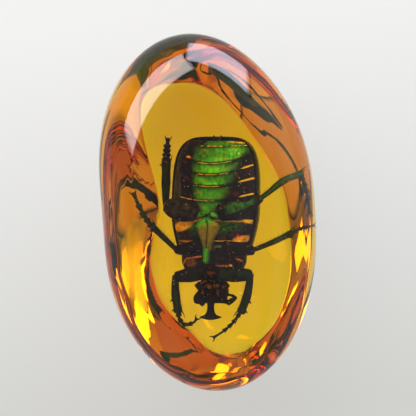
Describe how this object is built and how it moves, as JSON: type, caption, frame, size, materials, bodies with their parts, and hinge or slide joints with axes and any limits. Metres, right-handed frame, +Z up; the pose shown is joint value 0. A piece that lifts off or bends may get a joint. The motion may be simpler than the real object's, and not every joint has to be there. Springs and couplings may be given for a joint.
{
  "type": "beetle in amber",
  "caption": "Clear amber-coloured pebble with a whole horned flower beetle sealed in it, belly to the domed front and resting on a flat back.",
  "frame": {"origin": "centre of the pebble's outline, on the surface that its flat back rests on", "axes": "+Y along the pebble's long axis toward the beetle's tail, +Z up through the domed front, +X to the right as seen from the front"},
  "size_m": [0.0438, 0.0734, 0.0262],
  "materials": {
    "resin": "clear amber resin, polished",
    "belly": "metallic green beetle skin with golden seams",
    "shell": "dark brown glossy beetle shell",
    "limb": "black glossy beetle legs with a green sheen"
  },
  "bodies": {
    "root": {"resin_base": "resin", "resin_dome": "resin", "abdomen": "belly", "thorax": "belly", "prothorax": "shell", "head": "shell", "elytron_left": "shell", "elytron_right": "shell", "antenna_left": "limb", "antenna_right": "limb", "leg_front_left": "limb", "leg_front_right": "limb", "leg_middle_left": "limb", "leg_middle_right": "limb", "leg_hind_left": "limb", "leg_hind_right": "limb"}
  },
  "joints": []
}
